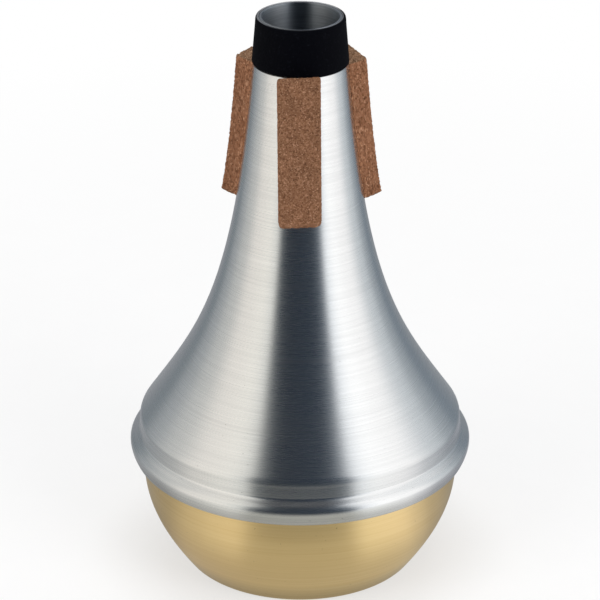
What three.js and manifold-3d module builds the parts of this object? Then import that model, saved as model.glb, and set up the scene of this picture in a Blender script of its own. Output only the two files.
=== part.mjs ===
// A trumpet straight mute that stands on its flat base: a spun aluminium body, a spun brass bottom, a thin
// rubber sleeve round the neck and three cork strips. The body's lower edge swells into a bead and curls
// under the brass, whose own edge is folded into a hook inside that bead: this rolled seam holds the two.
// Millimetres, +Z up along the mute's axis, base on z = 0, the front cork towards -Y.

import * as THREE from "three";
import { mergeVertices } from "three/addons/utils/BufferGeometryUtils.js";
import Module from "manifold-3d";

const wasm = await Module();
wasm.setup();

const degrees = Math.PI / 180;

// Stock and clearances
const aluminiumSheet = 0.8;
const brassSheet = 0.6;
const seatGap = 0.3; // between pieces that touch on the real mute
const overrun = 3; // how far a cutting solid passes the piece that it cuts

// The bead and the lip that is curled under it. A radius is to the outside, a height is above the base.
const beadRadius = 53.9;
const beadHeight = 40.6; // where the bead is widest
const beadRise = 2.7; // from there up to the bead's crown
const lipInset = 1; // how far the curled lip lies inside the bead
const beadFall = 5; // from the widest place down to the underside of the lip
const lipRound = 1.1;
const lipStartAngle = -26 * degrees; // where the bead's side runs into the lip's curl

// The aluminium body above the bead: neck, cone and shoulder
const rimHeight = 181.2;
const rimRadius = 12.55;
const neckLength = 14.6; // the part of the neck that the sleeve covers
const neckRadius = 13.85;
const neckAngle = 5.7 * degrees; // the cone's slope from upright at the neck
const neckReach = 79; // how far the neck's slope carries down the cone
const skirtAngle = 34.9 * degrees; // the cone's slope from upright at the shoulder
const skirtReach = 32;
const shoulderRise = 6.4; // from the bead's crown up to the end of the cone
const shoulderInset = 3.15; // how far the shoulder's upright face lies inside the bead
const shoulderEase = 0.45; // how far the shoulder's rounding starts inside that face
const grooveRound = 0.7; // the hollow fillet between the shoulder and the bead

// The brass bottom
const footRadius = 34.8; // the flat disc that it stands on
const footRound = 3;
const footAngle = 53.4 * degrees; // the bowl's slope from level at the foot
const footReach = 21.6;
const bowlReach = 8.1;
const seamWidth = 3; // the curled lip and the hook in it, across

// The rubber sleeve
const sleeveFootRadius = 14.75;
const sleeveFootRound = 0.4;
const sleeveCrownRadius = 13.72;
const sleeveTopRadius = 13.45;
const sleeveRound = 1.6; // height of the rounding at its upper edge

// The cork strips
const corkWidth = 13.3;
const corkThickness = 4.8;
const corkTopGap = 0.2; // along the axis, from the sleeve's step down to a strip
const corkTopLean = 0.8; // how much further up its top end reaches at the outside
const frontCorkRise = 44.9; // the height on the cone that a strip covers
const leftCorkRise = 45.9;
const rightCorkRise = 45.4;
const corks = [
  { name: "cork_front", turn: 0 * degrees, rise: frontCorkRise },
  { name: "cork_left", turn: -123 * degrees, rise: leftCorkRise },
  { name: "cork_right", turn: 116 * degrees, rise: rightCorkRise },
];

// Sizes that follow from those above
const neckHeight = rimHeight - neckLength;
const shoulderRadius = beadRadius - shoulderInset;
const skirtRadius = shoulderRadius - shoulderEase;
const skirtHeight = beadHeight + beadRise + shoulderRise;
const lipHeight = beadHeight - beadFall;
const seamRadius = beadRadius - lipInset;
const bowlRadius = seamRadius - seamWidth;
const corkTopHeight = neckHeight - corkTopGap;
const longestRise = Math.max(...corks.map((strip) => strip.rise));

// Facet counts
const turnSteps = 60;
const coneSteps = 12;
const corkSteps = 6;
const bowlSteps = 8;
const beadSteps = 5;
const roundSteps = 3;
const hookSteps = 6;

const aluminium = new THREE.MeshStandardMaterial({ color: 0xb9bdc0, roughness: 0.32, metalness: 1 });
const brass = new THREE.MeshStandardMaterial({ color: 0xb39a68, roughness: 0.38, metalness: 1 });
const rubber = new THREE.MeshStandardMaterial({ color: 0x0b0c10, roughness: 0.7, metalness: 0 });
const cork = new THREE.MeshStandardMaterial({ color: 0x8f6248, roughness: 0.92, metalness: 0 });

// A point of a profile: x is the radius, y the height.
function at(radius, height) {
  return new THREE.Vector2(radius, height);
}

// A point of a profile at a distance from another, along an angle from level.
function stepFrom(point, angle, distance) {
  return at(point.x + distance * Math.cos(angle), point.y + distance * Math.sin(angle));
}

// An arc of a profile about a centre, with its own radius across and up.
function arc(centre, across, up, startAngle, endAngle) {
  return new THREE.EllipseCurve(centre.x, centre.y, across, up, startAngle, endAngle, startAngle > endAngle);
}

// The points of several curves run together, without the doubled points where they join.
function joined(...stretches) {
  const points = [];
  for (const [curve, steps] of stretches) {
    for (const point of curve.getPoints(steps)) {
      const last = points.at(-1);
      if (!last || last.distanceTo(point) > seatGap / 100) points.push(point);
    }
  }
  return points;
}

// The same line shifted sideways, to the right of its direction for a positive distance.
function shifted(points, distance) {
  return points.map((point, i) => {
    const before = points[Math.max(i - 1, 0)];
    const after = points[Math.min(i + 1, points.length - 1)];
    const inward = point.clone().sub(before).normalize();
    const onward = after.clone().sub(point).normalize();
    const along = inward.add(onward).normalize();
    return at(point.x + along.y * distance, point.y - along.x * distance);
  });
}

// A closed band of sheet metal: an outer line and its shifted copy.
function sheetBand(outerLine, thickness) {
  const innerLine = shifted(outerLine, thickness).reverse();
  return [...outerLine, ...innerLine, outerLine[0].clone()];
}

// A profile of points turned about the Z axis.
function turned(points) {
  const geometry = new THREE.LatheGeometry(points, turnSteps);
  geometry.rotateX(Math.PI / 2);
  return geometry;
}

// A manifold-3d solid of a closed geometry.
function solidOf(geometry) {
  geometry.deleteAttribute("normal");
  geometry.deleteAttribute("uv");
  const merged = mergeVertices(geometry);
  return new wasm.Manifold(
    new wasm.Mesh({
      numProp: 3,
      vertProperties: merged.attributes.position.array,
      triVerts: new Uint32Array(merged.index.array),
    }),
  );
}

// A three.js geometry of a manifold-3d solid.
function geometryOf(solid) {
  const { vertProperties, triVerts } = solid.getMesh();
  const geometry = new THREE.BufferGeometry();
  geometry.setAttribute("position", new THREE.BufferAttribute(vertProperties, 3));
  geometry.setIndex(new THREE.BufferAttribute(triVerts, 1));
  geometry.computeVertexNormals();
  return geometry;
}

// The outside of the cone, from the neck down to the shoulder.
const neckPoint = at(neckRadius, neckHeight);
const skirtPoint = at(skirtRadius, skirtHeight);
const coneCurve = new THREE.CubicBezierCurve(
  neckPoint,
  stepFrom(neckPoint, neckAngle - Math.PI / 2, neckReach),
  stepFrom(skirtPoint, skirtAngle + Math.PI / 2, skirtReach),
  skirtPoint,
);

// The neck above the cone, stepped in so that the sleeve lies over it.
function neckLine() {
  const stepHeight = neckHeight + seatGap;
  const stepRadius = neckRadius - seatGap;
  const step = new THREE.LineCurve(at(stepRadius, stepHeight), neckPoint);
  const neck = new THREE.LineCurve(at(rimRadius, rimHeight), at(stepRadius, stepHeight));
  return [
    [neck, 1],
    [step, 1],
  ];
}

// The rounded shoulder under the cone, its upright face and the hollow fillet above the bead.
function shoulderLine() {
  const beadCrown = beadHeight + beadRise;
  const corner = at(shoulderRadius, skirtHeight - (shoulderRadius - skirtRadius) / Math.tan(skirtAngle));
  const faceTop = at(shoulderRadius, corner.y - skirtPoint.distanceTo(corner));
  const faceFoot = at(shoulderRadius, beadCrown + grooveRound);
  const grooveCentre = at(shoulderRadius + grooveRound, beadCrown + grooveRound);
  return [
    [new THREE.QuadraticBezierCurve(skirtPoint, corner, faceTop), roundSteps],
    [new THREE.LineCurve(faceTop, faceFoot), 1],
    [arc(grooveCentre, grooveRound, grooveRound, Math.PI, 1.5 * Math.PI), roundSteps],
  ];
}

// The bead, its lower side and the lip that curls under the brass.
function beadLine() {
  const crownRadius = shoulderRadius + grooveRound;
  const crownCentre = at(crownRadius, beadHeight);
  const lipCentre = at(seamRadius - lipRound, lipHeight + lipRound);
  const lipStart = stepFrom(lipCentre, lipStartAngle, lipRound);
  const sideFall = (beadRadius - lipStart.x) / Math.tan(-lipStartAngle);
  const side = new THREE.QuadraticBezierCurve(
    at(beadRadius, beadHeight),
    at(beadRadius, lipStart.y + sideFall),
    lipStart,
  );
  const lipEnd = at(bowlRadius + seatGap, lipHeight);
  return [
    [arc(crownCentre, beadRadius - crownRadius, beadRise, Math.PI / 2, 0), beadSteps],
    [side, roundSteps],
    [arc(lipCentre, lipRound, lipRound, lipStartAngle, -Math.PI / 2), roundSteps],
    [new THREE.LineCurve(at(lipCentre.x, lipHeight), lipEnd), 1],
  ];
}

function bodyShell() {
  const outerLine = joined(...neckLine(), [coneCurve, coneSteps], ...shoulderLine(), ...beadLine());
  const geometry = turned(sheetBand(outerLine, aluminiumSheet).reverse());
  return named("body_shell", geometry, aluminium);
}

// The bowl from its flat foot up to the seam, then over the top of the hook and down its outer leg.
function bottomCap() {
  const footCentre = at(footRadius, footRound);
  const bowlStart = stepFrom(footCentre, footAngle - Math.PI / 2, footRound);
  const seamPoint = at(bowlRadius, lipHeight + aluminiumSheet / 2);
  const bowl = new THREE.CubicBezierCurve(
    bowlStart,
    stepFrom(bowlStart, footAngle, footReach),
    stepFrom(seamPoint, -Math.PI / 2, bowlReach),
    seamPoint,
  );
  const legRadius = seamRadius - aluminiumSheet - seatGap; // outside of the hook's free leg
  const foldRadius = (legRadius - brassSheet - bowlRadius) / 2;
  const hookTop = beadHeight + beadRise - aluminiumSheet - seatGap;
  const hookCentre = at(bowlRadius + foldRadius, hookTop - foldRadius - brassSheet);
  const legFoot = at(hookCentre.x + foldRadius, lipHeight + aluminiumSheet + seatGap);
  const innerOfHook = joined(
    [new THREE.LineCurve(at(0, 0), at(footRadius, 0)), 1],
    [arc(footCentre, footRound, footRound, -Math.PI / 2, footAngle - Math.PI / 2), roundSteps],
    [bowl, bowlSteps],
    [new THREE.LineCurve(seamPoint, at(bowlRadius, hookCentre.y)), 1],
    [arc(hookCentre, foldRadius, foldRadius, Math.PI, 0), hookSteps],
    [new THREE.LineCurve(at(legFoot.x, hookCentre.y), legFoot), 1],
  );
  const farSide = shifted(innerOfHook, -brassSheet).reverse();
  const geometry = turned([...innerOfHook, ...farSide]);
  return named("bottom_cap", geometry, brass);
}

// The sleeve, seated above the neck's step, with a rounded upper edge and a small round at its foot.
function neckSleeve() {
  const footHeight = neckHeight + seatGap;
  const crown = at(sleeveCrownRadius, rimHeight - sleeveRound);
  const topOuter = at(sleeveTopRadius, rimHeight);
  const round = new THREE.QuadraticBezierCurve(crown, at(sleeveCrownRadius, rimHeight), topOuter);
  const footCentre = at(sleeveFootRadius - sleeveFootRound, footHeight + sleeveFootRound);
  const outside = joined(
    [arc(footCentre, sleeveFootRound, sleeveFootRound, -Math.PI / 2, 0), roundSteps],
    [new THREE.LineCurve(at(sleeveFootRadius, footCentre.y), crown), 1],
    [round, roundSteps],
  );
  const topInner = at(rimRadius + seatGap, rimHeight);
  const footInner = at(neckRadius, footHeight);
  const geometry = turned([footInner, ...outside, topInner, footInner.clone()]);
  return named("neck_sleeve", geometry, rubber);
}

// The part of the cone's outline between two heights, found by its own curve.
function coneStretch(lowHeight, highHeight, steps) {
  const points = [];
  for (let i = 0; i <= steps; i += 1) {
    const height = lowHeight + ((highHeight - lowHeight) * i) / steps;
    let low = 0;
    let high = 1;
    while (high - low > 1e-6) {
      const middle = (low + high) / 2;
      if (coneCurve.getPoint(middle).y > height) low = middle;
      else high = middle;
    }
    points.push(coneCurve.getPoint(low));
  }
  return points;
}

// The space that a cork can't enter: the cone with the seat's gap round it.
function coneEnvelope() {
  const lowest = corkTopHeight - longestRise - overrun;
  const line = shifted(coneStretch(lowest, neckHeight, corkSteps + 1), seatGap);
  return solidOf(turned([at(0, line[0].y), ...line, at(0, line.at(-1).y)]));
}

// One strip: its side view drawn along the cone, given its width, then hollowed to fit the cone.
function corkStrip({ name, turn, rise }, envelope) {
  const seat = coneStretch(corkTopHeight - rise, corkTopHeight, corkSteps);
  const outside = shifted(seat, seatGap + corkThickness);
  outside.at(-1).y += corkTopLean;
  const topInner = shifted(seat, seatGap).at(-1);
  const inside = shifted(seat, -overrun).reverse();
  const sideView = new THREE.Shape([...outside, topInner, ...inside]);
  const slab = new THREE.ExtrudeGeometry(sideView, { depth: corkWidth, bevelEnabled: false });
  slab.translate(0, 0, -corkWidth / 2);
  slab.rotateX(Math.PI / 2);
  const strip = solidOf(slab).subtract(envelope);
  const mesh = named(name, geometryOf(strip), cork);
  mesh.rotation.z = turn - Math.PI / 2;
  return mesh;
}

function named(name, geometry, material) {
  const mesh = new THREE.Mesh(geometry, material);
  mesh.name = name;
  return mesh;
}

const envelope = coneEnvelope();
const mute = new THREE.Group();
mute.add(bodyShell(), bottomCap(), neckSleeve());
for (const strip of corks) mute.add(corkStrip(strip, envelope));

export default mute;
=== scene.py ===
"""The looks of a trumpet straight mute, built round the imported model.

Lengths are written in millimetres and turned into metres where a mesh, a lamp or a shader takes them. The
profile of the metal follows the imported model's own curves, and every piece stands where its node stands.
"""

import math
import random
from itertools import product

import bpy
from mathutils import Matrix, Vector, noise


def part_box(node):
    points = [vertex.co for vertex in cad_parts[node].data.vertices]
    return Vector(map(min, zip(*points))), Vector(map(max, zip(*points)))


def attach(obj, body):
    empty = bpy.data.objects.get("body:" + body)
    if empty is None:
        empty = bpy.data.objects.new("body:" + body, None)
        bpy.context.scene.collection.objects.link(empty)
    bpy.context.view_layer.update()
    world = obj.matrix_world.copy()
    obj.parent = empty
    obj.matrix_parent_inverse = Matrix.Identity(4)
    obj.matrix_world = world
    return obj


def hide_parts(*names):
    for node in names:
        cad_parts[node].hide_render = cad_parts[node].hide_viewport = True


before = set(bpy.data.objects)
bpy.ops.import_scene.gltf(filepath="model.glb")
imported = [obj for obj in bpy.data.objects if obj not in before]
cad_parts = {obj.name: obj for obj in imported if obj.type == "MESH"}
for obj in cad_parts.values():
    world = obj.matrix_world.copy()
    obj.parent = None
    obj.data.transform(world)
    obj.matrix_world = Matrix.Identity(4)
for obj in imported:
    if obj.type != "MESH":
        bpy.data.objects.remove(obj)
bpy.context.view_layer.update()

MM = 0.001
IMAGE_PIXELS = 600

# Camera, as fitted to the photograph
VIEW_DISTANCE = 1000.0
VIEW_ELEVATION = math.radians(25.02)
VIEW_HEIGHT = 87.1  # the point on the axis at the middle of the picture
PIXELS_PER_MM = 3.2  # at that point
SENSOR_WIDTH = 36.0
CLIP_START = 10.0

# Sheet metal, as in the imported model
ALUMINIUM_SHEET = 0.8
BRASS_SHEET = 0.6
CLOSE_FIT = 0.06  # the pieces touch on the real mute, so they are drawn closer than their solids
SEAM_PLAY = 0.3  # round the brass hook inside the bead
RIPPLE_FADE = 3.0  # the rings of the spinning roller fade over this length at both ends of a profile

# Rim, neck and cone. The cone is one curve, with an angle and a reach at the neck and at the skirt.
RIM_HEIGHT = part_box("body_shell")[1].z / MM
RIM_RADIUS = 12.55
RIM_ROUND = 0.2
RIM_STEPS = 4
NECK_HEIGHT = 166.5
NECK_RADIUS = 14.45
NECK_STEP = 0.7  # the sleeve sits in this recess
NECK_STEP_RISE = 0.1
NECK_ANGLE = math.radians(4.7)
NECK_REACH = 75.75
NECK_SHIFT = 0.2  # to the right at the rim
STRAIGHT_HEIGHT = 100.0  # the axis leans above this
SKIRT_HEIGHT = 50.48
SKIRT_RADIUS = 49.9
SKIRT_ANGLE = math.radians(34.7)
SKIRT_REACH = 31.5
CONE_STEPS = 170
CONE_FINE_STEPS = 600  # for the corks' seats

# Upright face, bead and curled lip
SHOULDER_RADIUS = 51.05
FACE_LEAN = 0.3
GROOVE_ROUND = 0.75
BEAD_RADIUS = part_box("body_shell")[1].x / MM
BEAD_HEIGHT = 40.6
BEAD_RISE = 2.7
BEAD_SAG = 0.55  # how far below its solid's the drawn bead's widest place lies
BEAD_SWELL = 1.3  # the reach of the bead's curve where it leaves the face
BEAD_FULLNESS = 2.5  # and where it arrives at the widest place
SEAM_RADIUS = 52.9
LIP_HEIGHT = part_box("body_shell")[0].z / MM
LIP_ROUND = 1.1
LIP_START = math.radians(-26)

# Bowl and its hook
FOOT_RADIUS = 34.9
FOOT_ROUND = 3.0
FOOT_ANGLE = math.radians(53.2)
FOOT_REACH = 22.8
BOWL_RADIUS = 50.04
BOWL_REACH = 8.3
BOWL_LEAN = math.radians(4.7)
HOOK_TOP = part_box("bottom_cap")[1].z / MM

# Sleeve
SLEEVE_FOOT_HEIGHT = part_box("neck_sleeve")[0].z / MM
SLEEVE_FOOT_RADIUS = 14.75
SLEEVE_FOOT_ROUND = 0.4
SLEEVE_CROWN_RADIUS = 13.72
SLEEVE_TOP_RADIUS = 13.25
SLEEVE_ROUND = 1.7
SLEEVE_SLIP = 0.12  # how far its foot has slipped down
SLEEVE_TILT = 0.17  # and further at the right, less at the left
SLEEVE_STRETCH = 6.0  # the part above its foot that gives

# Corks, each with its turn round the axis in degrees and its shape, as cork_strip takes it
CORK_WIDTH = 12.87
CORK_THICKNESS = 4.75
CORK_TAPER = 0.3  # thinner at the top by this
CORK_SEAT = 0.3  # the solid's gap to the cone
CORK_TOP_HEIGHT = 166.1
CORK_TOP_ROUND = 0.15
CORK_PARTS = 8  # the shape of each end runs out over one of this many parts of the length
CORKS = {
    "cork_front": {
        "turn": 0.0,
        "foot_height": 121.7,
        "foot_round": 1.3,
        "slants": (0.31, 0.31),
        "leans": (-0.06, -0.52),
        "top_lean": 2.25,
        "seed": 11,
    },
    "cork_left": {
        "turn": -123.0,
        "foot_height": 120.2,
        "foot_round": 0.6,
        "slants": (0.1, 0.0),
        "leans": (0.0, 0.0),
        "top_lean": 0.3,
        "seed": 12,
    },
    "cork_right": {
        "turn": 116.0,
        "foot_height": 120.4,
        "foot_round": 0.6,
        "slants": (-0.1, 0.24),
        "leans": (0.0, 0.0),
        "top_lean": 0.3,
        "seed": 13,
    },
}

# Mesh of a cork: its steps along, across and deep, and about how long each is
STRIP_STEPS = (168, 48, 16)
STRIP_STEP_LENGTHS = (0.27, 0.28, 0.3)

# Wear of a cork. Noise is read at a fineness, from a seeded place.
WEAR_FINENESS = 0.9
WEAR_PLACES = 90
PITS = ((1.1, 0.2), (2.7, 0.25))  # how fine, and the noise level above which they are dug
PIT_DEPTH = 0.3
EDGE_WIDTH = 0.55
EDGE_WEAR = 0.06
EDGE_CRUMBLE = 0.22  # on top of the even wear, where the noise says so
CUT_ROUGHNESS = ((0.8, 0.2), (1.9, 0.34))  # how fine and how deep the cut sides and ends are torn
CRUMBLE_FINENESS = 1.9
DEEPEST_WEAR = 0.5
HIGHEST_TEAR = 0.15

TURN_STEPS = 240
SHARP_ANGLE = math.radians(40)
CORK_SHARP_ANGLE = math.radians(60)
SAME_PLACE = 1e-4

WHITE = (1, 1, 1, 1)
BLACK = (0, 0, 0, 1)


def in_metres(lengths):
    return tuple(length * MM for length in lengths)


# Points and curves of a profile: (radius, height)

def step_from(point, angle, distance):
    return (point[0] + distance * math.cos(angle), point[1] + distance * math.sin(angle))


def line(start, end, steps):
    return [
        (start[0] + (end[0] - start[0]) * i / steps, start[1] + (end[1] - start[1]) * i / steps)
        for i in range(steps + 1)
    ]


def arc(centre, radius, start, end, steps):
    turns = [start + (end - start) * i / steps for i in range(steps + 1)]
    return [step_from(centre, turn, radius) for turn in turns]


def bezier(points, steps):
    """The points of a Bezier curve of any degree."""
    degree = len(points) - 1
    curve = []
    for i in range(steps + 1):
        t = i / steps
        weights = [math.comb(degree, k) * t**k * (1 - t) ** (degree - k) for k in range(degree + 1)]
        curve.append(tuple(sum(w * p[axis] for w, p in zip(weights, points)) for axis in (0, 1)))
    return curve


def joined(*stretches):
    """One line from several, without the doubled points where they join."""
    points = []
    for stretch in stretches:
        for point in stretch:
            if not points or math.dist(points[-1], point) > SAME_PLACE:
                points.append(point)
    return points


def rightward(points, i):
    """The direction to the right of a line at one of its points."""
    before = points[max(i - 1, 0)]
    after = points[min(i + 1, len(points) - 1)]
    length = math.dist(before, after)
    return ((after[1] - before[1]) / length, -(after[0] - before[0]) / length)


def shifted(points, distance):
    """The line moved sideways, to the right of its direction for a positive distance."""
    moved = []
    for i, (radius, height) in enumerate(points):
        right = rightward(points, i)
        moved.append((radius + right[0] * distance, height + right[1] * distance))
    return moved


def rippled(points, amount, lengths, seed):
    """The line with the faint rings that a spinning roller leaves, fading out at both ends."""
    rng = random.Random(seed)
    waves = [(length, rng.uniform(0, 2 * math.pi)) for length in lengths]
    travelled = [0.0]
    for before, after in zip(points, points[1:]):
        travelled.append(travelled[-1] + math.dist(before, after))
    result = []
    for i, (radius, height) in enumerate(points):
        s = travelled[i]
        fade = min(1.0, s / RIPPLE_FADE, (travelled[-1] - s) / RIPPLE_FADE)
        swing = sum(math.sin(2 * math.pi * s / length + phase) for length, phase in waves) / len(waves)
        depth = amount * fade * (swing - 1.0)
        right = rightward(points, i)
        result.append((radius - right[0] * depth, height - right[1] * depth))
    return result


# Profiles

NECK_POINT = (NECK_RADIUS, NECK_HEIGHT)
SKIRT_POINT = (SKIRT_RADIUS, SKIRT_HEIGHT)
CONE_CONTROLS = [
    NECK_POINT,
    step_from(NECK_POINT, NECK_ANGLE - math.pi / 2, NECK_REACH),
    step_from(SKIRT_POINT, SKIRT_ANGLE + math.pi / 2, SKIRT_REACH),
    SKIRT_POINT,
]


def body_outline():
    """The outside of the aluminium, from the rim down to the end of the curled lip."""
    crown_height = BEAD_HEIGHT + BEAD_RISE
    face_radius = SHOULDER_RADIUS - FACE_LEAN
    corner = (face_radius, SKIRT_HEIGHT - (face_radius - SKIRT_RADIUS) / math.tan(SKIRT_ANGLE))
    face_top = (face_radius, corner[1] - math.dist(SKIRT_POINT, corner))
    face_foot = (SHOULDER_RADIUS, crown_height + 2 * GROOVE_ROUND - BEAD_SAG)
    bead_side = (BEAD_RADIUS, BEAD_HEIGHT - BEAD_SAG)
    swell = [
        face_foot,
        (SHOULDER_RADIUS, face_foot[1] - BEAD_SWELL),
        (BEAD_RADIUS, bead_side[1] + BEAD_FULLNESS),
        bead_side,
    ]
    lip_centre = (SEAM_RADIUS - LIP_ROUND, LIP_HEIGHT + LIP_ROUND)
    lip_start = step_from(lip_centre, LIP_START, LIP_ROUND)
    side_fall = (BEAD_RADIUS - lip_start[0]) / math.tan(-LIP_START)
    step_point = (NECK_RADIUS - NECK_STEP, NECK_HEIGHT + NECK_STEP_RISE)
    return joined(
        line((RIM_RADIUS, RIM_HEIGHT), step_point, 12),
        line(step_point, NECK_POINT, 2),
        bezier(CONE_CONTROLS, CONE_STEPS),
        bezier([SKIRT_POINT, corner, face_top], 10),
        line(face_top, face_foot, 6),
        bezier(swell, 36),
        bezier([bead_side, (BEAD_RADIUS, lip_start[1] + side_fall), lip_start], 14),
        arc(lip_centre, LIP_ROUND, LIP_START, -math.pi / 2, 8),
        line((lip_centre[0], LIP_HEIGHT), (BOWL_RADIUS + CLOSE_FIT, LIP_HEIGHT), 4),
    )


def rim_round(radius, start, end):
    """A quarter round of the rim, round a centre at the given radius."""
    return arc((radius, RIM_HEIGHT - RIM_ROUND), RIM_ROUND, start, end, RIM_STEPS)


def bowl_outline():
    """The brass from the middle of its foot, up the bowl, and over and down the inside of the hook."""
    foot_centre = (FOOT_RADIUS, FOOT_ROUND)
    bowl_start = step_from(foot_centre, FOOT_ANGLE - math.pi / 2, FOOT_ROUND)
    seam_point = (BOWL_RADIUS, LIP_HEIGHT + ALUMINIUM_SHEET / 2)
    leg_radius = SEAM_RADIUS - ALUMINIUM_SHEET - SEAM_PLAY
    fold_radius = (leg_radius - BRASS_SHEET - BOWL_RADIUS) / 2
    hook_centre = (BOWL_RADIUS + fold_radius, HOOK_TOP - fold_radius - BRASS_SHEET)
    leg_foot = (hook_centre[0] + fold_radius, LIP_HEIGHT + ALUMINIUM_SHEET + SEAM_PLAY)
    bowl = [
        bowl_start,
        step_from(bowl_start, FOOT_ANGLE, FOOT_REACH),
        step_from(seam_point, -math.pi / 2 - BOWL_LEAN, BOWL_REACH),
        seam_point,
    ]
    return joined(
        line((0.0, 0.0), (FOOT_RADIUS, 0.0), 40),
        arc(foot_centre, FOOT_ROUND, -math.pi / 2, FOOT_ANGLE - math.pi / 2, 12),
        bezier(bowl, 110),
        line(seam_point, (BOWL_RADIUS, hook_centre[1]), 4),
        arc(hook_centre, fold_radius, math.pi, 0, 12),
        line((leg_foot[0], hook_centre[1]), leg_foot, 3),
    )


def sleeve_outline():
    """A closed loop: up the outside of the rubber, over its rounded crown and down the inside."""
    crown = (SLEEVE_CROWN_RADIUS, RIM_HEIGHT - SLEEVE_ROUND)
    foot_centre = (SLEEVE_FOOT_RADIUS - SLEEVE_FOOT_ROUND, SLEEVE_FOOT_HEIGHT + SLEEVE_FOOT_ROUND)
    foot_inner = (NECK_RADIUS - NECK_STEP + CLOSE_FIT, SLEEVE_FOOT_HEIGHT)
    top_inner = (RIM_RADIUS + CLOSE_FIT, RIM_HEIGHT)
    return joined(
        line(foot_inner, (foot_centre[0], SLEEVE_FOOT_HEIGHT), 2),
        arc(foot_centre, SLEEVE_FOOT_ROUND, -math.pi / 2, 0, 5),
        line((SLEEVE_FOOT_RADIUS, foot_centre[1]), crown, 30),
        bezier([crown, (SLEEVE_CROWN_RADIUS, RIM_HEIGHT), (SLEEVE_TOP_RADIUS, RIM_HEIGHT)], 8),
        line((SLEEVE_TOP_RADIUS, RIM_HEIGHT), top_inner, 3),
        line(top_inner, foot_inner, 10),
    )


# Meshes

def new_piece(name, vertices, faces, materials, sharp_angle=SHARP_ANGLE):
    """A smooth mesh object, with its edges sharp where its faces meet at more than an angle."""
    mesh = bpy.data.meshes.new(name)
    mesh.from_pydata(vertices, [], faces)
    mesh.validate()
    mesh.shade_smooth()
    mesh.set_sharp_from_angle(angle=sharp_angle)
    for material in materials:
        mesh.materials.append(material)
    made = bpy.data.objects.new(name, mesh)
    bpy.context.scene.collection.objects.link(made)
    return made


def neck_shift(height):
    """How far the axis has leant sideways at a height."""
    return NECK_SHIFT * max(0.0, height - STRAIGHT_HEIGHT) / (RIM_HEIGHT - STRAIGHT_HEIGHT)


def ring(radius, height, steps, shift=0.0):
    """Vertices round the axis, or round a place beside it."""
    vertices = []
    for k in range(steps):
        turn = 2 * math.pi * k / steps
        x = radius * math.cos(turn) + shift
        vertices.append((x * MM, radius * MM * math.sin(turn), height * MM))
    return vertices


def faces_along(rings):
    """The faces from each ring of vertices to the next, triangles where a ring is a single point."""
    faces = []
    for low, high in zip(rings, rings[1:]):
        for k in range(len(low)):
            after = (k + 1) % len(low)
            corners = [low[k], low[after], high[after], high[k]]
            faces.append(tuple(dict.fromkeys(corners)))
    return faces


def turned(name, profile, materials, second_from=None):
    """A solid of revolution about Z. The profile closes on itself, or starts and ends on the axis.

    The faces from one place of the profile on take the second material.
    """
    rings = []
    vertices = []
    for radius, height in profile:
        if radius == 0.0:
            rings.append([len(vertices)] * TURN_STEPS)
            vertices.append((0.0, 0.0, height * MM))
        else:
            rings.append(range(len(vertices), len(vertices) + TURN_STEPS))
            vertices.extend(ring(radius, height, TURN_STEPS, neck_shift(height)))
    if profile[0][0] != 0.0:
        rings.append(rings[0])
    solid = new_piece(name, vertices, faces_along(rings), materials)
    if second_from is not None:
        for face in solid.data.polygons:
            face.material_index = int(face.index >= second_from * TURN_STEPS)
    return solid


# Shader nodes

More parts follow.
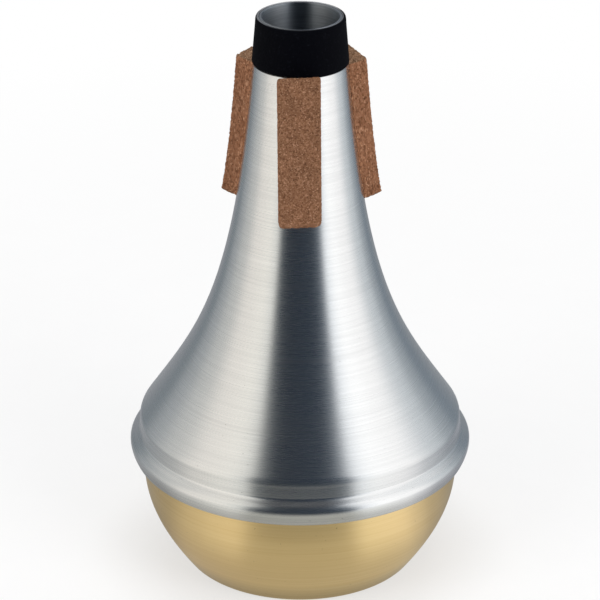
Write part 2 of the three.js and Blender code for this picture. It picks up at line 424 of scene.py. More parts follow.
class Nodes:
    """A short way to add and link shader nodes."""

    def __init__(self, tree):
        self.tree = tree

    def add(self, kind, settings=None, **inputs):
        node = self.tree.nodes.new(kind)
        for key, value in (settings or {}).items():
            setattr(node, key, value)
        for key, value in inputs.items():
            self.put(node.inputs[key.replace("_", " ")], value)
        return node

    def put(self, socket, value):
        if isinstance(value, bpy.types.NodeSocket):
            self.tree.links.new(value, socket)
        else:
            socket.default_value = value

    def calculate(self, kind, operation, *values):
        node = self.add(kind, {"operation": operation})
        for socket, value in zip(node.inputs, values):
            self.put(socket, value)
        return node.outputs[0]

    def math(self, operation, *values):
        return self.calculate("ShaderNodeMath", operation, *values)

    def vector_math(self, operation, *values):
        return self.calculate("ShaderNodeVectorMath", operation, *values)

    def noise(self, place, scale, detail=2.0, roughness=0.5):
        node = self.add("ShaderNodeTexNoise", Vector=place, Scale=scale, Detail=detail, Roughness=roughness)
        return node.outputs["Fac"]

    def remap(self, value, span, to_low=0.0, to_high=1.0):
        """The value's place in a span, as a place between two others. It stops at both ends."""
        node = self.add("ShaderNodeMapRange", {"clamp": True}, Value=value)
        for name, number in zip(("From Min", "From Max", "To Min", "To Max"), (*span, to_low, to_high)):
            node.inputs[name].default_value = number
        return node.outputs["Result"]

    def over(self, length, span, to_low=0.0, to_high=1.0):
        """The same for a length in the shader's metres and a span in millimetres."""
        return self.remap(length, in_metres(span), to_low, to_high)

    def ramp(self, value, stops):
        """A colour ramp with soft steps, from a list of (place, colour)."""
        node = self.add("ShaderNodeValToRGB", Fac=value)
        node.color_ramp.interpolation = "EASE"
        elements = node.color_ramp.elements
        elements.remove(elements[-1])
        (first_place, first_colour), *others = stops
        elements[0].position = first_place
        elements[0].color = (*first_colour, 1)
        for place, colour in others:
            elements.new(place).color = (*colour, 1)
        return node.outputs["Color"]

    def mix(self, factor, first, second, blend="MIX"):
        node = self.add("ShaderNodeMix", {"data_type": "RGBA", "blend_type": blend}, Factor=factor)
        self.put(node.inputs[6], first)
        self.put(node.inputs[7], second)
        return node.outputs[2]

    def bump(self, shader, height, strength, depth):
        """Raises the surface in the shading, by a depth in millimetres."""
        node = self.add("ShaderNodeBump", Strength=strength, Distance=depth * MM, Height=height)
        self.put(shader.inputs["Normal"], node.outputs[0])

    def place(self):
        return self.add("ShaderNodeTexCoord").outputs["Object"]

    def xyz(self):
        return self.add("ShaderNodeSeparateXYZ", Vector=self.place()).outputs

    def hypotenuse(self, first, second):
        squares = [self.math("MULTIPLY", side, side) for side in (first, second)]
        return self.math("SQRT", self.math("ADD", *squares))

    def radius_from_axis(self):
        x, y, z = self.xyz()
        return self.hypotenuse(x, y)


def new_material(name):
    material = bpy.data.materials.new(name)
    material.use_nodes = True
    tree = material.node_tree
    return material, Nodes(tree), tree.nodes["Principled BSDF"]


# Spun metal

# Its lines: how often they change round the axis and along the profile, their detail and their share
SPUN_LINES = ((1.0, 5200.0, 2.0, 0.5), (0.65, 1700.0, 2.0, 0.35), (0.35, 420.0, 1.0, 0.15))
SPUN_PATCHES = (45.0, 3.0)  # scale and detail
SPUN_PATCH_SHARE = 0.1
SPUN_TINT_LEVELS = (0.38, 0.72)
SPUN_PITS = (60.0, 1500.0, 1.0)
SPUN_PIT_LEVELS = (0.77, 0.80)
SPUN_PIT_GREY = 0.6
SPUN_SHINE_LEVELS = (0.35, 0.65)
SPUN_ROUGHER = 0.04
SPUN_SMOOTHER = 0.03
SPUN_BUMP = (0.4, 0.02)  # strength and depth
LEAST_RADIUS = 0.01


def spun_noise(nodes, falls_outward, around, along, detail):
    """Noise that runs round the axis slowly and along the profile fast."""
    x, y, z = nodes.xyz()
    radius = nodes.radius_from_axis()
    safe = nodes.math("MAXIMUM", radius, LEAST_RADIUS * MM)
    run = nodes.math("SUBTRACT" if falls_outward else "ADD", z, radius)
    place = nodes.add(
        "ShaderNodeCombineXYZ",
        X=nodes.math("MULTIPLY", nodes.math("DIVIDE", x, safe), around),
        Y=nodes.math("MULTIPLY", nodes.math("DIVIDE", y, safe), around),
        Z=nodes.math("MULTIPLY", run, along),
    )
    return nodes.noise(place.outputs[0], 1.0, detail)


def spun_metal(
    name, colour, streak_colour, falls_outward, roughness, anisotropy, shade_heights=(), shade_grey=1.0
):
    """Bare metal with fine lines round the axis: in its colour, its roughness and its height.

    From the first of the shade heights to the second its colour darkens, down to the grey: painted shade.
    """
    material, nodes, shader = new_material(name)
    lines = 0.0
    for around, along, detail, share in SPUN_LINES:
        part = spun_noise(nodes, falls_outward, around, along, detail)
        lines = nodes.math("ADD", lines, nodes.math("MULTIPLY", part, share))
    patches = nodes.math("MULTIPLY", nodes.noise(nodes.place(), *SPUN_PATCHES), SPUN_PATCH_SHARE)
    tint = nodes.remap(nodes.math("ADD", lines, patches), SPUN_TINT_LEVELS)
    pits = nodes.remap(spun_noise(nodes, falls_outward, *SPUN_PITS), SPUN_PIT_LEVELS)
    pit_colour = (*(SPUN_PIT_GREY * value for value in streak_colour[:3]), 1)
    colour = nodes.mix(pits, nodes.mix(tint, streak_colour, colour), pit_colour)
    # Painted shade: the colour darkens between the two heights
    if shade_heights:
        x, y, z = nodes.xyz()
        shade_colour = (shade_grey, shade_grey, shade_grey, 1)
        colour = nodes.mix(nodes.over(z, shade_heights), colour, shade_colour, "MULTIPLY")
    shine = nodes.remap(lines, SPUN_SHINE_LEVELS, roughness + SPUN_ROUGHER, roughness - SPUN_SMOOTHER)
    nodes.put(shader.inputs["Base Color"], colour)
    nodes.put(shader.inputs["Roughness"], shine)
    shader.inputs["Metallic"].default_value = 1.0
    shader.inputs["Anisotropic"].default_value = anisotropy
    shader.inputs["Anisotropic Rotation"].default_value = 0.25
    tangent = nodes.add("ShaderNodeTangent", {"direction_type": "RADIAL", "axis": "Z"})
    nodes.put(shader.inputs["Tangent"], tangent.outputs[0])
    nodes.bump(shader, lines, *SPUN_BUMP)
    return material


def aluminium_material():
    return spun_metal(
        "spun_aluminium",
        colour=(0.77, 0.78, 0.79, 1),
        streak_colour=(0.67, 0.68, 0.69, 1),
        falls_outward=True,
        roughness=0.27,
        anisotropy=0.75,
        # Painted shade under the bead and down the curled lip
        shade_heights=(39.8, 38.2),
        shade_grey=0.80,
    )


# Darker and bluer than the outside: painted shade inside the neck, which the round of the rim takes too
def inside_material():
    return spun_metal(
        "spun_aluminium_inside",
        colour=(0.46, 0.495, 0.54, 1),
        streak_colour=(0.30, 0.33, 0.37, 1),
        falls_outward=True,
        roughness=0.44,
        anisotropy=0.95,
    )


def brass_material():
    return spun_metal(
        "spun_brass",
        colour=(0.885, 0.675, 0.355, 1),
        streak_colour=(0.795, 0.59, 0.285, 1),
        falls_outward=False,
        roughness=0.33,
        anisotropy=0.6,
        # Painted shade towards the foot, near the floor
        shade_heights=(8.5, 2.2),
        shade_grey=0.66,
    )


# Rubber

RUBBER_BLACKS = ((0.001, 0.0012, 0.0026, 1), (0.007, 0.008, 0.012, 1))
RUBBER_GRAIN = (2600.0, 3.0, 0.6)  # scale, detail and roughness of the noise
RUBBER_SPECKS = (900.0, 4.0, 0.7)
RUBBER_SPECK_LEVELS = (0.58, 0.74)
RUBBER_SHINE_LEVELS = (0.3, 0.7)
RUBBER_ROUGHNESS = (0.75, 0.95)
RUBBER_BUMP = (0.6, 0.1)
# Painted sheen on the rubber's top edge: greys over the grain, paler at the back
PAINTED_SHEEN_GREYS = ((0.09, 0.095, 0.105, 1), (0.19, 0.20, 0.215, 1))
PAINTED_SHEEN_BACK_GREY = (0.36, 0.37, 0.39, 1)

# Where the top edge is painted pale as sheen, in place of light glancing off it: how high and how far in,
# more to the back than to the front
SHEEN_HEIGHTS = (RIM_HEIGHT - 0.25, RIM_HEIGHT - 0.02)
SHEEN_RADII = (12.95, 13.2)
SHEEN_WIDER = 0.35  # at the back
BACK_SPAN = (4.0, 11.0)
FRONT_SPAN = (-12.0, -5.0)
SHEEN_FRONT_SHARE = 0.2


def rubber_material():
    material, nodes, shader = new_material("black_rubber")
    grain = nodes.noise(nodes.place(), *RUBBER_GRAIN)
    specks = nodes.remap(nodes.noise(nodes.place(), *RUBBER_SPECKS), RUBBER_SPECK_LEVELS)
    black = nodes.mix(specks, *RUBBER_BLACKS)
    x, y, z = nodes.xyz()
    # Painted sheen on the top edge: paler at the back, fainter at the front
    at_back = nodes.over(y, BACK_SPAN)
    wear_and_sheen = nodes.mix(at_back, nodes.mix(grain, *PAINTED_SHEEN_GREYS), PAINTED_SHEEN_BACK_GREY)
    wider = nodes.math("MULTIPLY", at_back, SHEEN_WIDER * MM)
    inner_part = nodes.over(nodes.math("SUBTRACT", nodes.radius_from_axis(), wider), SHEEN_RADII, 1.0, 0.0)
    from_front = nodes.over(y, FRONT_SPAN, SHEEN_FRONT_SHARE, 1.0)
    on_top = nodes.over(z, SHEEN_HEIGHTS)
    on_edge = nodes.math("MULTIPLY", on_top, nodes.math("MULTIPLY", inner_part, from_front))
    nodes.put(shader.inputs["Base Color"], nodes.mix(on_edge, black, wear_and_sheen))
    nodes.put(shader.inputs["Roughness"], nodes.remap(grain, RUBBER_SHINE_LEVELS, *RUBBER_ROUGHNESS))
    shader.inputs["Specular IOR Level"].default_value = 0.07
    nodes.bump(shader, grain, *RUBBER_BUMP)
    return material


# Cork

# The browns of the grains from dark to pale, on the rubbed face, the top end and the cut sides; those of
# the top end are paler, as painted light
BROWN_PLACES = (0.0, 0.3, 0.65, 0.9, 1.0)
FACE_BROWNS = [
    (0.105, 0.045, 0.021),
    (0.190, 0.088, 0.045),
    (0.242, 0.118, 0.062),
    (0.300, 0.154, 0.086),
    (0.400, 0.222, 0.134),
]
# Painted light: the top end's browns are paler, as if lit against the sleeve's shadow
LIT_END_BROWNS = [
    (0.140, 0.072, 0.037),
    (0.253, 0.140, 0.079),
    (0.322, 0.189, 0.109),
    (0.400, 0.246, 0.150),
    (0.530, 0.355, 0.235),
]
CUT_BROWNS = [
    (0.155, 0.062, 0.028),
    (0.270, 0.117, 0.058),
    (0.340, 0.154, 0.079),
    (0.415, 0.200, 0.108),
    (0.520, 0.275, 0.160),
]

# The grains, how far they are warped, and the glue in the gaps, the chips and the dust between them: the
# noise of each, the levels at which it sets in, and how strongly it takes its own brown
GRAIN_SCALE = 2900.0
WARP_SCALE = 2400.0
WARP = 0.6
GAP_WIDTH = 0.14  # in cells of the grain
GAP_TONE = (0.35, (0.15, 0.062, 0.032, 1))
CHIPS = (1500.0, 3.0, 0.65)
CHIP_LEVELS = (0.63, 0.71)
CHIP_TONE = (0.75, (0.07, 0.026, 0.016, 1))
DUST = (3200.0, 3.0, 0.6)
DUST_LEVELS = (0.60, 0.74)
DUST_TONE = (0.4, (0.50, 0.29, 0.18, 1))

# Broad lighter and darker parts, the roughness, and how much the grains rise and the hollows fall
BROAD_SCALE = 160.0
BROAD_LEVELS = (0.35, 0.65)
BROAD_VALUES = (0.93, 1.07)
CORK_ROUGHNESS = (0.8, 0.95)
GRAIN_RISE = 0.5
HOLLOW_FALL = 0.6
CORK_BUMP = (0.45, 0.12)


def cork_material(name, lengthwise, browns):
    """Pressed cork: small grains, each with its own brown, dark chips and pale dust between them.

    The grains are drawn out along the strip where the lengthwise scale is under one.
    """
    material, nodes, shader = new_material(name)
    place = nodes.vector_math("MULTIPLY", nodes.place(), (1.0, 1.0, lengthwise))
    warp = nodes.add("ShaderNodeTexNoise", Vector=place, Scale=WARP_SCALE, Detail=2.0)
    shift = nodes.add("ShaderNodeVectorMath", {"operation": "SCALE"}, Scale=WARP * MM)
    nodes.put(shift.inputs[0], warp.outputs["Color"])
    warped = nodes.vector_math("ADD", place, shift.outputs[0])
    grains = nodes.add("ShaderNodeTexVoronoi", Vector=warped, Scale=GRAIN_SCALE)
    edges = nodes.add(
        "ShaderNodeTexVoronoi", {"feature": "DISTANCE_TO_EDGE"}, Vector=warped, Scale=GRAIN_SCALE
    )
    brown, shine, rise = nodes.add("ShaderNodeSeparateColor", Color=grains.outputs["Color"]).outputs

    gap = nodes.remap(edges.outputs["Distance"], (0.0, GAP_WIDTH), 1.0, 0.0)
    chip = nodes.remap(nodes.noise(place, *CHIPS), CHIP_LEVELS)
    dust = nodes.remap(nodes.noise(warped, *DUST), DUST_LEVELS)
    colour = nodes.ramp(brown, zip(BROWN_PLACES, browns))
    for spots, (strength, tone) in ((gap, GAP_TONE), (chip, CHIP_TONE), (dust, DUST_TONE)):
        colour = nodes.mix(nodes.math("MULTIPLY", spots, strength), colour, tone)
    broad = nodes.remap(nodes.noise(place, BROAD_SCALE), BROAD_LEVELS, *BROAD_VALUES)
    toned = nodes.add("ShaderNodeHueSaturation", Color=colour, Value=broad)
    nodes.put(shader.inputs["Base Color"], toned.outputs["Color"])
    nodes.put(shader.inputs["Roughness"], nodes.remap(shine, (0.0, 1.0), *CORK_ROUGHNESS))
    shader.inputs["Specular IOR Level"].default_value = 0.2

    height = nodes.math("MULTIPLY", rise, GRAIN_RISE)
    for hollow in (gap, chip):
        height = nodes.math("SUBTRACT", height, nodes.math("MULTIPLY", hollow, HOLLOW_FALL))
    nodes.bump(shader, height, *CORK_BUMP)
    return material


# Cork strips

def cone_stretch(low, high, steps):
    """Points of the cone's outline at even heights, from the low one up."""
    curve = bezier(CONE_CONTROLS, CONE_FINE_STEPS)[::-1]
    points = []
    k = 0
    for i in range(steps + 1):
        height = low + (high - low) * i / steps
        while k < len(curve) - 2 and curve[k + 1][1] < height:
            k += 1
        share = (height - curve[k][1]) / (curve[k + 1][1] - curve[k][1])
        points.append((curve[k][0] + (curve[k + 1][0] - curve[k][0]) * share, height))
    return points


def end_round(across, radius):
    """How far a strip's end is rounded back, from its place across the strip."""
    past = abs(across) * CORK_WIDTH / 2 - (CORK_WIDTH / 2 - radius)
    return radius - math.sqrt(max(radius**2 - past**2, 0.0)) if past > 0 else 0.0


def box_surface(point_at):
    """The six sides of a bent box: its points by their steps, its faces and which material each has."""
    along_steps, across_steps, deep_steps = STRIP_STEPS
    face, cut, end = 0, 1, 2
    sides = [
        (lambda a, b: (a, b, deep_steps), along_steps, across_steps, True, face),
        (lambda a, b: (a, b, 0), along_steps, across_steps, False, face),
        (lambda a, b: (a, across_steps, b), along_steps, deep_steps, False, cut),
        (lambda a, b: (a, 0, b), along_steps, deep_steps, True, cut),
        (lambda a, b: (along_steps, a, b), across_steps, deep_steps, True, end),
        (lambda a, b: (0, a, b), across_steps, deep_steps, False, face),
    ]
    order = {}
    faces = []
    face_materials = []
    for step_at, count_a, count_b, flip, material in sides:
        for a, b in product(range(count_a), range(count_b)):
            corners = [step_at(a, b), step_at(a + 1, b), step_at(a + 1, b + 1), step_at(a, b + 1)]
            quad = [order.setdefault(corner, len(order)) for corner in corners]
            faces.append(quad[::-1] if flip else quad)
            face_materials.append(material)
    points = {step: point_at(*step) for step in order}
    return points, faces, face_materials


def edge_share(i, j, k):
    """One on a strip's edges, falling to zero over the rubbed width beside them."""
    along_steps, across_steps, deep_steps = STRIP_STEPS
    steps_off = (min(i, along_steps - i), min(j, across_steps - j), deep_steps - k)
    lengths_off = sorted(count * length for count, length in zip(steps_off, STRIP_STEP_LENGTHS))
    return max(0.0, 1 - lengths_off[1] / EDGE_WIDTH) if lengths_off[0] == 0 else 0.0


def wear_and_sheen(point, step, middle, offset):
    """A strip's point after wear: pits all over, crumbled edges, and torn cut sides and ends."""
    along_steps, across_steps, deep_steps = STRIP_STEPS
    i, j, k = step
    sample = point * WEAR_FINENESS + offset
    pits = sum(max(0.0, noise.noise(sample * fineness) - level) * PIT_DEPTH for fineness, level in PITS)
    crumble = EDGE_WEAR + EDGE_CRUMBLE * abs(noise.noise(sample * CRUMBLE_FINENESS))
    inward = Vector((middle.x - point.x, middle.y - point.y, 0)).normalized()
    moved = point + inward * min(pits + edge_share(i, j, k) * crumble, DEEPEST_WEAR)
    tear = sum(noise.noise(sample * fineness) * depth for fineness, depth in CUT_ROUGHNESS)
    tear = min(tear, HIGHEST_TEAR)
    moved.x += ((j == across_steps) - (j == 0)) * tear
    moved.z += ((i == along_steps) - (i == 0)) * tear
    return moved


def cork_strip(name, materials, turn, foot_height, foot_round, slants, leans, top_lean, seed):
    """One strip: flat across its face, hollowed to the cone behind, with rubbed edges and torn grains.

    The slants tilt its foot and its top end, the leans move them sideways, and the top lean is how much
    further up the top end reaches at the outside.
    """
    along_steps, across_steps, deep_steps = STRIP_STEPS
    side = cone_stretch(foot_height, CORK_TOP_HEIGHT, along_steps)
    normals = [(a[0] - b[0], a[1] - b[1]) for a, b in zip(shifted(side, 1.0), side)]
    front = CORK_SEAT + CORK_THICKNESS

    def point_at(i, j, k):
        along = i / along_steps
        across = j / across_steps * 2 - 1
        radius, height = side[i]
        x = across * CORK_WIDTH / 2
        back = math.sqrt(max((radius + CLOSE_FIT) ** 2 - x * x, 0.0)) - radius
        push = back + (front - CORK_TAPER * along - back) * (k / deep_steps)
        foot = slants[0] * across + end_round(across, foot_round)
        top = slants[1] * across - end_round(across, CORK_TOP_ROUND) + top_lean * push / front
        near_foot = max(0.0, 1 - along * CORK_PARTS)
        near_top = max(0.0, along * CORK_PARTS - (CORK_PARTS - 1))
        lift = foot * near_foot + top * near_top
        lean = leans[0] + (leans[1] - leans[0]) * along
        return Vector((x + lean, -(radius + normals[i][0] * push), height + normals[i][1] * push + lift))

    points, faces, face_materials = box_surface(point_at)
    rng = random.Random(seed)
    offset = Vector([rng.uniform(0, WEAR_PLACES) for axis in "xyz"])
    middle = Vector((0, -(side[along_steps // 2][0] + CORK_THICKNESS / 2), 0))
    spin = math.radians(turn)
    vertices = []
    for step, point in points.items():
        point = wear_and_sheen(point, step, middle, offset)
        x = point.x * math.cos(spin) - point.y * math.sin(spin) + neck_shift(point.z)
        y = point.x * math.sin(spin) + point.y * math.cos(spin)
        vertices.append(in_metres((x, y, point.z)))
    strip = new_piece(name, vertices, faces, materials, CORK_SHARP_ANGLE)
    for polygon, material in zip(strip.data.polygons, face_materials):
        polygon.material_index = material
    return strip


# Studio

# The floor, with its share of plain white beside the mute and the distances over which it grows to white
FLOOR_REACH = 6000.0
FLOOR_GREYS = ((0.93, 0.93, 0.93, 1), (0.95, 0.95, 0.95, 1))
FLOOR_MOTTLE = (60.0, 4.0)
FLOOR_MOTTLE_LEVELS = (0.3, 0.7)
FLOOR_WHITE = 0.6
FLOOR_FADE = (90.0, 450.0)

WORLD_COLOUR = (0.95, 0.97, 1.0, 1)
WORLD_STRENGTH = 0.35

# Lamps for the matt pieces and the floor: place, size, power and colour
LAMP_TARGET = (0.0, 0.0, 90.0)
LAMPS = {
    "lamp_left": ((-950.0, -850.0, 750.0), 700.0, 5.5, (1.0, 0.98, 0.95)),
    "lamp_right": ((850.0, -950.0, 750.0), 700.0, 6.8, (1.0, 0.99, 0.98)),
    "lamp_top": ((0.0, 100.0, 1500.0), 1100.0, 11.0, (1.0, 1.0, 1.0)),
}

# The screen round the mute: a ring just off the floor, a wall, and a roof that closes over the top. It
# glows and only the metal sees it: a painted reflection of the studio.
SCREEN_STEPS = 96
SCREEN_GAP = 0.15
SCREEN_FOOT_RADIUS = 35.3
SCREEN_WALL_RADIUS = 640.0
SCREEN_WALL_LEAN = 10.0
SCREEN_WALL_HEIGHT = 900.0
SCREEN_ROOF_HEIGHT = 1700.0
SCREEN_TOP_RADIUS = 0.5
SCREEN_ROOF_CONTROLS = [
    (SCREEN_WALL_RADIUS + SCREEN_WALL_LEAN, SCREEN_WALL_HEIGHT),
    (SCREEN_WALL_RADIUS, 1500.0),
    (300.0, SCREEN_ROOF_HEIGHT),
    (SCREEN_TOP_RADIUS, SCREEN_ROOF_HEIGHT),
]

# What the metal reflects, by degrees from straight ahead towards the right
SCREEN_WALL = [
    (-180, (0.42, 0.44, 0.46)),
    (-156, (0.32, 0.33, 0.35)),
    (-135, (0.22, 0.25, 0.27)),
    (-118, (0.40, 0.42, 0.43)),
    (-97, (0.62, 0.62, 0.595)),
    (-72, (0.975, 0.925, 0.85)),
    (-50, (1.05, 1.01, 0.92)),
    (-38, (0.93, 0.92, 0.86)),
    (-29, (0.055, 0.07, 0.085)),
    (-20, (0.027, 0.035, 0.048)),
    (20, (0.032, 0.044, 0.062)),
    (30.5, (0.075, 0.10, 0.13)),
    (41.5, (1.16, 1.19, 1.21)),
    (52, (1.35, 1.34, 1.32)),
    (75, (1.235, 1.215, 1.195)),
    (104, (0.69, 0.73, 0.75)),
    (121, (0.385, 0.425, 0.455)),
    (136, (0.215, 0.255, 0.295)),
    (158, (0.30, 0.32, 0.34)),
    (180, (0.42, 0.44, 0.46)),
]
SCREEN_GROUND = [
    (-180, (0.47, 0.48, 0.51)),
    (-150, (0.42, 0.43, 0.45)),
    (-115, (0.36, 0.37, 0.38)),
    (-90, (0.375, 0.375, 0.37)),
    (-60, (0.64, 0.63, 0.585)),
    (-50, (0.75, 0.74, 0.68)),
    (-36, (0.84, 0.82, 0.75)),
    (-24, (0.55, 0.54, 0.48)),
    (24, (0.57, 0.56, 0.50)),
    (38, (0.96, 0.96, 0.91)),
    (60, (0.98, 0.97, 0.95)),
    (72, (0.73, 0.73, 0.74)),
    (85, (0.485, 0.49, 0.51)),
    (115, (0.345, 0.36, 0.39)),
    (150, (0.45, 0.46, 0.50)),
    (180, (0.47, 0.48, 0.51)),
]
SCREEN_FOOT = [
    (-180, (0.07, 0.065, 0.065)),
    (-130, (0.18, 0.17, 0.165)),
    (-105, (0.26, 0.25, 0.24)),
    (-60, (0.50, 0.48, 0.45)),
    (0, (0.54, 0.53, 0.485)),
    (60, (0.56, 0.55, 0.51)),
    (105, (0.29, 0.28, 0.27)),
    (130, (0.22, 0.21, 0.205)),
    (180, (0.07, 0.065, 0.065)),
]

# Distances from the axis at which the ground beside the foot, the ground further out and the wall meet. The
# ring beside the foot is darker at the back and sides, as painted shade of the floor there.
FOOT_TO_GROUND = (47.0, 74.0)
GROUND_TO_WALL = (112.0, 141.0)
GROUND_SIDE_REACH = 30.0  # how much further out the ground reaches at the sides
GROUND_SIDE_START = (math.radians(20), math.radians(50))

# Nearest the mute the wall's pattern is drawn together round its dark middle, by this factor
NEAR_WALL = (150.0, 260.0)
NEAR_FACTOR = 1.2

# The wall is a little brighter higher up. Slopes are those of the look upwards from the foot.
LEAST_DISTANCE = 10.0
WALL_GAIN_SLOPE = (0.0, 0.5)
WALL_GAIN = (1.06, 1.06, 1.06, 1)

# High up and overhead the studio changes from left to right only, with a grey strip along the middle:
# the slopes over which that sets in, behind the mute and in front of it, and where behind starts
HIGH_SLOPE = (0.5, 1.0)
OVERHEAD_SLOPE = (1.1, 2.0)
OVERHEAD_GREY = (0.085, 0.088, 0.094, 1)
BEHIND = (0.0, 100.0)

# There the pattern is drawn together by this factor in front of the mute, and less far behind it
HIGH_FACTOR = 1.75
HIGH_FACTOR_BEHIND = math.sqrt(2)
HIGH_FACTOR_SPAN = (0.0, 400.0)


def make_camera():
    data = bpy.data.cameras.new("camera")
    data.sensor_width = SENSOR_WIDTH
    data.lens = SENSOR_WIDTH * PIXELS_PER_MM * VIEW_DISTANCE / IMAGE_PIXELS
    data.clip_start = CLIP_START * MM
    camera = bpy.data.objects.new("camera", data)
    camera.location = in_metres((
        0.0,
        -VIEW_DISTANCE * math.cos(VIEW_ELEVATION),
        VIEW_HEIGHT + VIEW_DISTANCE * math.sin(VIEW_ELEVATION),
    ))
    camera.rotation_euler = (math.pi / 2 - VIEW_ELEVATION, 0.0, 0.0)
    bpy.context.scene.collection.objects.link(camera)
    bpy.context.scene.camera = camera


def seen_share(nodes):
    """One for the rays of the camera, of a reflection and of a look through glass, else zero."""
    path = nodes.add("ShaderNodeLightPath").outputs
    either = nodes.math("MAXIMUM", path["Is Camera Ray"], path["Is Glossy Ray"])
    return nodes.math("MAXIMUM", either, path["Is Transmission Ray"])


def blend_into(nodes, share, own, white, output):
    """Shows the white shader instead of the own one, by a share."""
    blend = nodes.add("ShaderNodeMixShader", Fac=share)
    nodes.put(blend.inputs[1], own.outputs[0])
    nodes.put(blend.inputs[2], white.outputs[0])
    nodes.put(nodes.tree.nodes[output].inputs["Surface"], blend.outputs[0])


def make_floor():
    """A pale floor that keeps the mute's shadow and runs out into white."""
    material, nodes, shader = new_material("pale_floor")
    mottle = nodes.remap(nodes.noise(nodes.place(), *FLOOR_MOTTLE), FLOOR_MOTTLE_LEVELS)
    nodes.put(shader.inputs["Base Color"], nodes.mix(mottle, *FLOOR_GREYS))
    shader.inputs["Roughness"].default_value = 0.9
    shader.inputs["Specular IOR Level"].default_value = 0.1
    white = nodes.add("ShaderNodeEmission", Color=WHITE, Strength=1.0)
    fade = nodes.over(nodes.radius_from_axis(), FLOOR_FADE, FLOOR_WHITE, 1.0)
    share = nodes.math("MULTIPLY", fade, seen_share(nodes))
    blend_into(nodes, share, shader, white, "Material Output")
    reach = FLOOR_REACH * MM
    corners = [(-reach, -reach, 0), (reach, -reach, 0), (reach, reach, 0), (-reach, reach, 0)]
    floor = new_piece("floor", corners, [(0, 1, 2, 3)], [material])


def all_round(nodes, angle, stops):
    """The colour at an angle, from a list of (degrees, colour) that goes once round."""
    share = nodes.remap(angle, (-math.pi, math.pi))
    return nodes.ramp(share, [((degrees + 180) / 360, colour) for degrees, colour in stops])


def high_colour(nodes, overhead):
    """The studio high up, which changes from left to right only."""
    x, y, z = nodes.xyz()
    reach = nodes.hypotenuse(nodes.radius_from_axis(), z)
    factor = nodes.over(y, HIGH_FACTOR_SPAN, HIGH_FACTOR, HIGH_FACTOR_BEHIND)
    sideward = nodes.math("MULTIPLY", nodes.math("DIVIDE", x, reach), factor)
    sideward = nodes.remap(sideward, (-1.0, 1.0), -1.0, 1.0)
    high = all_round(nodes, nodes.math("ARCSINE", sideward), SCREEN_WALL)
    return nodes.mix(1.0, high, nodes.mix(overhead, BLACK, OVERHEAD_GREY), "LIGHTEN")


def wall_colour(nodes, azimuth, distance):
    """The wall, turning into the high part of the studio behind the mute and overhead."""
    x, y, z = nodes.xyz()
    slope = nodes.math("DIVIDE", z, nodes.math("MAXIMUM", distance, LEAST_DISTANCE * MM))
    angle = nodes.math("MULTIPLY", azimuth, nodes.over(distance, NEAR_WALL, NEAR_FACTOR, 1.0))
    wall = all_round(nodes, angle, SCREEN_WALL)
    brighter = nodes.mix(1.0, wall, WALL_GAIN, "MULTIPLY")
    wall = nodes.mix(nodes.remap(slope, WALL_GAIN_SLOPE), wall, brighter)
    overhead = nodes.remap(slope, OVERHEAD_SLOPE)
    behind = nodes.math("MULTIPLY", nodes.over(y, BEHIND), nodes.remap(slope, HIGH_SLOPE))
    return nodes.mix(nodes.math("MAXIMUM", behind, overhead), wall, high_colour(nodes, overhead))


def screen_colour(nodes):
    """The pattern of the whole screen, from the foot outwards: foot, ground and wall."""
    x, y, z = nodes.xyz()
    azimuth = nodes.math("ARCTAN2", x, nodes.math("MULTIPLY", y, -1.0))
    distance = nodes.radius_from_axis()
    foot = all_round(nodes, azimuth, SCREEN_FOOT)
    ground = all_round(nodes, azimuth, SCREEN_GROUND)
    wall = wall_colour(nodes, azimuth, distance)
    to_side = nodes.math("ABSOLUTE", azimuth)
    further = nodes.remap(to_side, GROUND_SIDE_START, 0.0, GROUND_SIDE_REACH * MM)
    colour = nodes.mix(nodes.over(distance, FOOT_TO_GROUND), foot, ground)
    return nodes.mix(nodes.over(nodes.math("SUBTRACT", distance, further), GROUND_TO_WALL), colour, wall)


def screen_material():
    material = bpy.data.materials.new("studio_screen")
    material.use_nodes = True
    nodes = Nodes(material.node_tree)
    nodes.tree.nodes.clear()
    emission = nodes.add("ShaderNodeEmission", Color=screen_colour(nodes), Strength=1.0)
    nodes.add("ShaderNodeOutputMaterial", Surface=emission.outputs[0])
    return material


def reflection_screen():
    """The studio that the metal sees: a ring on the floor and a wall that closes over the top."""
    ground_edge = (SCREEN_WALL_RADIUS, SCREEN_GAP)
    profile = joined(
        line((SCREEN_FOOT_RADIUS, SCREEN_GAP), ground_edge, 12),
        line(ground_edge, SCREEN_ROOF_CONTROLS[0], 12),
        bezier(SCREEN_ROOF_CONTROLS, 16),
    )
    vertices = [vertex for point in profile for vertex in ring(*point, SCREEN_STEPS)]
    rings = [range(i * SCREEN_STEPS, (i + 1) * SCREEN_STEPS) for i in range(len(profile))]
    screen = new_piece("studio_screen", vertices, faces_along(rings), [screen_material()])
    screen.visible_camera = False
    screen.visible_diffuse = False
    screen.visible_shadow = False
    screen.visible_transmission = False
    screen.visible_volume_scatter = False


def soft_lamp(name, place, size, power, colour):
    """A square lamp for the matt pieces and the floor. The metal sees the screen instead."""
    data = bpy.data.lights.new(name, "AREA")
    data.shape = "SQUARE"
    data.size = size * MM
    data.energy = power
    data.color = colour
    lamp = bpy.data.objects.new(name, data)
    lamp.location = in_metres(place)
    aim = Vector(in_metres(LAMP_TARGET)) - Vector(in_metres(place))
    lamp.rotation_euler = aim.to_track_quat("-Z", "Y").to_euler()
    lamp.visible_glossy = False
    bpy.context.scene.collection.objects.link(lamp)


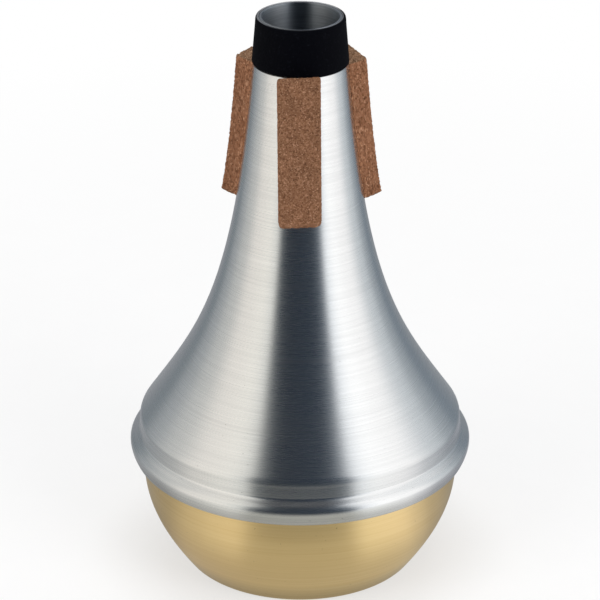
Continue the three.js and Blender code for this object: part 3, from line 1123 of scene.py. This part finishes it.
def make_light():
    world = bpy.data.worlds.new("studio")
    world.use_nodes = True
    background = world.node_tree.nodes["Background"]
    background.inputs["Color"].default_value = WORLD_COLOUR
    background.inputs["Strength"].default_value = WORLD_STRENGTH
    nodes = Nodes(world.node_tree)
    white = nodes.add("ShaderNodeBackground", Color=WHITE, Strength=1.0)
    blend_into(nodes, seen_share(nodes), background, white, "World Output")
    bpy.context.scene.world = world
    for name, settings in LAMPS.items():
        soft_lamp(name, *settings)


# The mute's pieces

def dress(obj, node):
    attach(obj, "root")
    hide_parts(node)


def make_body():
    """The aluminium shell. The round of its rim has the look of its inside, with its painted shade."""
    outline = rippled(body_outline(), amount=0.006, lengths=(1.7, 2.9, 4.3), seed=3)
    outer = [*rim_round(RIM_RADIUS - RIM_ROUND, math.pi / 2, 0), *outline[1:]]
    inner_rim = rim_round(RIM_RADIUS - ALUMINIUM_SHEET + RIM_ROUND, math.pi / 2, math.pi)
    far_side = shifted(body_outline()[::2], ALUMINIUM_SHEET)
    inner = [point for point in far_side if point[1] < RIM_HEIGHT - RIM_ROUND]
    profile = [*reversed(outer), *inner_rim, *inner]
    materials = [aluminium_material(), inside_material()]
    shell = turned("body_shell_visual", profile, materials, second_from=len(outer) - 1 - RIM_STEPS)
    dress(shell, "body_shell")


def make_cap():
    """The brass bowl, closed on the axis at both sides of its sheet."""
    outside = rippled(bowl_outline(), amount=0.005, lengths=(1.9, 3.1, 5.3), seed=5)
    inside = shifted(bowl_outline()[::2], -BRASS_SHEET)
    outside[0] = (0.0, 0.0)
    inside[0] = (0.0, BRASS_SHEET)
    cap = turned("bottom_cap_visual", [*outside, *reversed(inside)], [brass_material()])
    dress(cap, "bottom_cap")


def make_sleeve():
    """The rubber sleeve, with its foot a little slipped and tilted."""
    sleeve = turned("neck_sleeve_visual", sleeve_outline(), [rubber_material()])
    for vertex in sleeve.data.vertices:
        give = max(0.0, 1 - (vertex.co.z / MM - SLEEVE_FOOT_HEIGHT) / SLEEVE_STRETCH)
        vertex.co.z -= (SLEEVE_SLIP + SLEEVE_TILT * vertex.co.x / MM / SLEEVE_FOOT_RADIUS) * give * MM
    dress(sleeve, "neck_sleeve")


def make_corks():
    """The three cork strips, with materials for the face, the cut sides and the top end, whose paler browns
    are painted light.
    """
    materials = [
        cork_material("pressed_cork", 0.9, FACE_BROWNS),
        cork_material("pressed_cork_cut", 0.4, CUT_BROWNS),
        cork_material("pressed_cork_lit_end", 0.9, LIT_END_BROWNS),
    ]
    for name, shape in CORKS.items():
        strip = cork_strip(name + "_visual", materials, **shape)
        dress(strip, name)


bpy.context.scene.view_settings.view_transform = "Standard"
make_camera()
make_floor()
reflection_screen()
make_light()
make_body()
make_cap()
make_sleeve()
make_corks()
